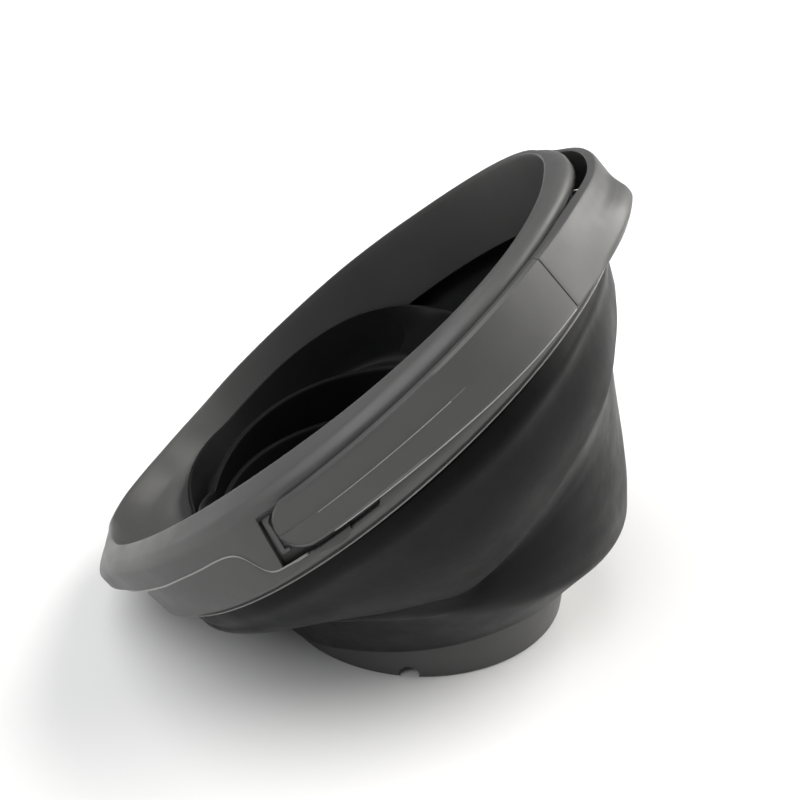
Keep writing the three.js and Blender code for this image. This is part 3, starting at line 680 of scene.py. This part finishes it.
for name, side in SIDES:
    node = "handle_arm_" + name
    skin = loft(arm_rings(side), closed_round=False)
    arm = build(node + "_body", *skin, "handle", GREY, "grey_plastic", [node])
    soften(face_out(arm), 0.7)
grip = build(
    "handle_grip_body",
    *loft([handle_ring(a) for a in span(-GRIP_HALF_ANGLE, GRIP_HALF_ANGLE, 60)], closed_round=False),
    "handle", GREY, "grey_plastic", ["handle_grip"],
)
soften(face_out(grip), 0.7)

ARM_EDGE = 0.3
EDGE_CORNER = 12  # the section's corner on the handle's lower edge
CREASE_CORNER = 21  # the section's corner on the fine step
# The handle's lower edge and crease beads are drawn in the lighter grey: a painted highlight along these
# edges.
for name, side in SIDES:
    foot_line = []
    crease_line = []
    for a in span(GRIP_HALF_ANGLE + 0.6, 84, 60):
        section = handle_section(side * a)
        foot_line.append(polar(section[EDGE_CORNER][0], side * a, section[EDGE_CORNER][1]))
        crease = section[CREASE_CORNER]
        crease_line.append(polar(crease[0] - 0.05, side * a, crease[1]))
    bead("arm_edge_" + name, foot_line, ARM_EDGE, "handle")
    bead("arm_crease_" + name, crease_line[30:], 0.5 * ARM_EDGE, "handle")

# ---- bellows -------------------------------------------------------------------------------------
BEAD_RADIUS = [(0, 146.5), (18, 149.5), (30, 151), (57, 151.5), (94, 151.3), (180, 151)]
BEAD_DEPTH = [
    (0, -50), (19, -50.3), (30, -51.6), (43, -54.8), (57, -56.9), (70, -55.9), (79, -55.7),
    (94, -54), (180, -53),
]
DIP_RADIUS = [(0, 143), (28, 147), (45, 148), (60, 148), (81, 148.5), (180, 148.5)]
DIP_DEPTH = [
    (0, -57), (28, -57.6), (45, -61.6), (59, -64.2), (70, -63.6), (81, -62.6), (94, -61),
    (180, -60),
]
FIRST_RADIUS = [
    (0, 135.5), (15, 135.5), (30, 133), (56, 121), (80, 113.5), (90, 116), (97, 121), (110, 131),
    (128, 145), (150, 149), (180, 149),
]
FIRST_DEPTH = [
    (0, -73.5), (15, -78.5), (30, -90), (56, -105), (80, -115), (90, -109), (97, -100), (110, -84),
    (128, -70), (150, -65), (180, -65),
]
UPPER_REAR = [
    (76, -70), (84, -59.4), (87, -53), (93, -39.6), (100, -29.6), (108, -22.5), (117, -18.2),
    (127.5, -15.8), (139, -15.4), (150, -15.4), (158, -13.7), (166, -15), (172, -19), (177, -26.3),
    (180, -32.6),
]
UPPER_FRONT = [
    (76, -70), (84, -59.4), (87, -53), (93, -39.6), (100, -29.6), (108, -22.5), (117, -18.2),
    (127.5, -16.8), (139, -17.4), (150, -19.5), (158, -22.5), (166, -27), (172, -31.5),
    (180, -32.6),
]
OPENED = [(0, 0), (0.1, -3), (0.25, -4.3), (0.4, -3.4), (0.6, -1.1), (0.8, 0.8), (1, 0)]
UPPER_RADIUS = 141.6
SAG_Z = [(0, 29), (30, 29), (52, 28.5), (72, 25), (91, 20.5), (105, 16.5), (118, 11.5), (132, 7), (180, 4)]


def rim_point(radius, angle, z):
    return from_rim(polar(radius, angle, z))


def cup_radius(z):
    return BASE_FOOT_RADIUS + BASE_FLARE * min(1.0, z / 30)


def meridian(angle):
    """Corners of the wall at one azimuth as (point, rounding radius), from collar to flange."""
    folded = smooth(62, 86, angle) if angle > 0 else smooth(72, 96, -angle)
    deep = smooth(84, 125, abs(angle))
    a = angle
    top = rim_point(151.2, a, -RIM_DEPTH - 1.1 + 0.7 * smooth(10, 32, abs(a)))
    bead = rim_point(knots(BEAD_RADIUS, a) + 1.0, a, knots(BEAD_DEPTH, a))
    dip = rim_point(knots(DIP_RADIUS, a), a, knots(DIP_DEPTH, a))
    first = rim_point(knots(FIRST_RADIUS, a), a, knots(FIRST_DEPTH, a))
    dip = dip * (1 - 0.6 * folded) + (bead * 0.7 + first * 0.3) * 0.6 * folded
    bulge = dip * 0.5 + first * 0.5 + polar(3.0 * smooth(5, 40, abs(a)), a, 0)
    ridge = polar(RIDGE_RADIUS + 2 * (1 - folded), a, RIDGE_Z + 5 * (1 - folded))

    def opened(t):
        return first * (1 - t) + ridge * t + polar(knots(OPENED, t), a, 0)

    upper = rim_point(UPPER_RADIUS, a, knots(UPPER_REAR if a > 0 else UPPER_FRONT, max(76, abs(a))))
    back = rim_point(139.5, a, -50) * 0.88 + first * 0.12
    fall = max(0.0, (abs(a) - 105) / 75) ** 2
    middle = polar(126 - 3 * fall, a, 86 - 29 * fall)
    outer_valley = upper * 0.45 + middle * 0.55 + np.array([0, 0, -8 - 13 * deep])
    inner_valley = middle * 0.5 + ridge * 0.5 + np.array([0, 0, -6 - 20 * deep])

    def fold(shut, t):
        return opened(t) * (1 - folded) + shut * folded

    sag = knots(SAG_Z, a)

    def beside(gap, z):
        return polar(cup_radius(z) + GAP + SILICONE / 2 + gap, a, z)

    hanging = beside(2.8, sag + 3)
    lower = hanging * 0.55 + ridge * 0.45 + polar(-0.8 + 2.3 * smooth(20, 70, abs(a)), a, 0)
    return [
        (top, 0.0), (bead, 3.5), (dip, 3.5), (bulge, 18.0), (first, 2.2), (fold(back, 0.2), 5.0),
        (fold(upper, 0.34), 3.0), (fold(outer_valley, 0.5), 5.0), (fold(middle, 0.66), 3.5),
        (fold(inner_valley, 0.83), 5.0), (ridge, 4.0), (lower, 10.0), (hanging, 1.5),
        (beside(1.4, sag + SILICONE / 2), 0.6), (beside(0, sag + 3), 0.6), (beside(0.4, BASE_TOP - 2.6), 2.0),
        (polar(cup_radius(30) - 1.4, a, FLANGE_Z), 2.0), (polar(FLANGE_RADIUS, a, FLANGE_Z), 0.0),
    ]


ARC_STEPS = 5
RUN_STEPS = 3


def rounded(corners):
    """A dense line through the corners, each cut off by a smooth arc of its own reach."""
    ends = []
    for i, (p, reach) in enumerate(corners):
        if i in (0, len(corners) - 1):
            ends.append((p, p, p))
            continue
        before, after = corners[i - 1][0], corners[i + 1][0]
        cut_a = min(reach, 0.45 * np.linalg.norm(before - p))
        cut_b = min(reach, 0.45 * np.linalg.norm(after - p))
        ends.append((p + (before - p) / np.linalg.norm(before - p) * cut_a, p,
                     p + (after - p) / np.linalg.norm(after - p) * cut_b))
    line = [ends[0][0]]
    for i in range(1, len(ends)):
        start, end = ends[i - 1][2], ends[i][0]
        line += [start + (end - start) * s / RUN_STEPS for s in range(1, RUN_STEPS + 1)]
        if i == len(ends) - 1:
            break
        p0, p1, p2 = ends[i]
        for s in range(1, ARC_STEPS + 1):
            t = s / ARC_STEPS
            line.append(p0 * (1 - t) ** 2 + p1 * 2 * t * (1 - t) + p2 * t * t)
    return line


def bellows_ring(angle):
    line = rounded(meridian(angle))
    out = polar(1, angle, 0)
    flat = np.array([[p @ out, p[2]] for p in line])
    ahead = np.vstack([flat[1:], flat[-1:]]) - np.vstack([flat[:1], flat[:-1]])
    ahead /= np.linalg.norm(ahead, axis=1)[:, None]
    half_wall = SILICONE / 2
    first, second = [], []
    for p, (dx, dz) in zip(line, ahead):
        step = (out * -dz + np.array([0, 0, dx])) * half_wall
        first.append(p + step)
        second.append(p - step)
    return first + list(reversed(second))


bellows_angles = span(-180, 180, 240)[:-1]
bellows_rings = [bellows_ring(a) for a in bellows_angles]
bellows = build("bellows_wall", *loft(bellows_rings), None, SILICONE_BLACK, "silicone")
face_out(bellows)
# The inner faces of the wall get the darker silicone: painted shade inside the tub.
bellows.data.materials.append(SILICONE_PAINTED_SHADE)
for polygon in bellows.data.polygons:
    polygon.material_index = int(polygon.index % len(bellows_rings[0]) >= len(bellows_rings[0]) // 2)
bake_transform(bellows)
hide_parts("bellows")

# Shares of how far each point of the wall would follow the rim: nothing at the cup, all of it at the collar.
# They are spread over the points of a meridian here, but nothing in this script applies them to the wall.
FOLLOW = [1.0, 1.0, 1.0, 0.97, 0.88, 0.8, 0.72, 0.62, 0.5, 0.36, 0.24, 0.1, 0.0, 0.0, 0.0, 0.0, 0.0, 0.0]
along = []
for i in range(1, len(FOLLOW)):
    along += [FOLLOW[i - 1] + (FOLLOW[i] - FOLLOW[i - 1]) * s / RUN_STEPS for s in range(1, RUN_STEPS + 1)]
    if i < len(FOLLOW) - 1:
        along += [FOLLOW[i]] * ARC_STEPS
along = [FOLLOW[0]] + along

# ---- base ----------------------------------------------------------------------------------------
NOTCH_X = 3.6
NOTCH_RADIUS = 5.4
BUTTON_RADIUS = 5.2
BUTTON_Z = 11.4


def cut(obj, cutter):
    """Takes the cutter's shape out of the piece for good."""
    modifier = obj.modifiers.new("cut", "BOOLEAN")
    modifier.object = cutter
    modifier.solver = "EXACT"
    bpy.context.view_layer.update()
    graph = bpy.context.evaluated_depsgraph_get()
    mesh = bpy.data.meshes.new_from_object(obj.evaluated_get(graph))
    obj.modifiers.clear()
    obj.data = mesh
    bpy.data.objects.remove(cutter)


def bore(name, radius, x, z, y0, y1, sides=48):
    """A bar along Y that cuts a round hole; it never stays in the scene."""
    turns = np.linspace(0, 2 * math.pi, sides, False)
    rings = [[(x + radius * math.cos(a), y, z + radius * math.sin(a)) for a in turns] for y in (y0, y1)]
    verts, faces = loft(rings, closed_round=False)
    mesh = bpy.data.meshes.new(name)
    mesh.from_pydata([tuple(np.asarray(v) * MM) for v in verts], [], faces)
    obj = bpy.data.objects.new(name, mesh)
    bpy.context.scene.collection.objects.link(obj)
    return face_out(obj)


base = build(
    "base_cup",
    *turned(
        [
            (BASE_FOOT_RADIUS - 0.6, 0.3), (BASE_FOOT_RADIUS, 0.9),
            (cup_radius(15), 15), (cup_radius(30), 30),
            (cup_radius(30), BASE_TOP - 2.4), (cup_radius(30) - 2.4, BASE_TOP), (8, BASE_TOP),
            (8, BASE_TOP - WALL), (cup_radius(30) - WALL, BASE_TOP - WALL), (BASE_FOOT_RADIUS - WALL, 0.3),
        ],
        180,
    ),
    None, GREY, "grey_plastic", ["base_housing"],
)
face_out(base)
cut(base, bore("notch_cutter", NOTCH_RADIUS, NOTCH_X, 2.0, -92, -70))
cut(base, bore("button_cutter", BUTTON_RADIUS + 0.4, 0.0, BUTTON_Z, 70, 92))
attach(base, "base")
soften(base, 0.35)

# ---- floor, light, camera ------------------------------------------------------------------------
floor_mesh = bpy.data.meshes.new("floor")
floor_mesh.from_pydata([(-6, -6, 0), (6, -6, 0), (6, 6, 0), (-6, 6, 0)], [], [(0, 1, 2, 3)])
floor = bpy.data.objects.new("floor", floor_mesh)
bpy.context.scene.collection.objects.link(floor)
floor_material, _, _ = new_material("pale_floor", (0.66, 0.66, 0.66), 0.8, specular=0.1)
floor_mesh.materials.append(floor_material)


def area_light(name, position, target, size, power, color=(1, 1, 1)):
    data = bpy.data.lights.new(name, "AREA")
    data.shape = "RECTANGLE"
    data.size, data.size_y = size
    data.energy = power
    data.color = color
    light = bpy.data.objects.new(name, data)
    light.location = position
    light.rotation_euler = (Vector(target) - Vector(position)).to_track_quat("-Z", "Y").to_euler()
    bpy.context.scene.collection.objects.link(light)


def sun_light(name, direction, strength, spread, color=(1, 1, 1)):
    """A very large, far softbox, so that the floor is evenly lit."""
    data = bpy.data.lights.new(name, "SUN")
    data.energy = strength
    data.angle = math.radians(spread)
    data.color = color
    light = bpy.data.objects.new(name, data)
    light.rotation_euler = Vector(direction).to_track_quat("Z", "Y").to_euler()
    bpy.context.scene.collection.objects.link(light)


sun_light("key", (0.71, 0.41, 0.57), 5.0, 60, (1.0, 0.985, 0.955))
sun_light("overhead", (-0.44, -0.26, 0.87), 3.4, 75)
area_light("fill", (-1.5, -1.0, 0.9), (0, 0, 0.12), (1.2, 0.9), 0.5)

world = bpy.data.worlds.new("studio")
world.use_nodes = True
world.node_tree.nodes["Background"].inputs["Color"].default_value = (0.97, 0.985, 1, 1)
world.node_tree.nodes["Background"].inputs["Strength"].default_value = 0.24
bpy.context.scene.world = world
bpy.context.scene.view_settings.view_transform = "Standard"

CAMERA_AZIMUTH = math.radians(7.5)
CAMERA_ELEVATION = math.radians(26.8)
CAMERA_DISTANCE = 0.6621
CAMERA_TARGET = Vector((-0.0123, 0, 0.1237))
back = Vector((
    math.sin(CAMERA_AZIMUTH) * math.cos(CAMERA_ELEVATION),
    -math.cos(CAMERA_AZIMUTH) * math.cos(CAMERA_ELEVATION),
    math.sin(CAMERA_ELEVATION),
))
camera_data = bpy.data.cameras.new("camera")
camera_data.lens = 54
camera_data.sensor_width = 36
camera = bpy.data.objects.new("camera", camera_data)
camera.location = CAMERA_TARGET + back * CAMERA_DISTANCE
camera.rotation_euler = back.to_track_quat("Z", "Y").to_euler()
bpy.context.scene.collection.objects.link(camera)
bpy.context.scene.camera = camera
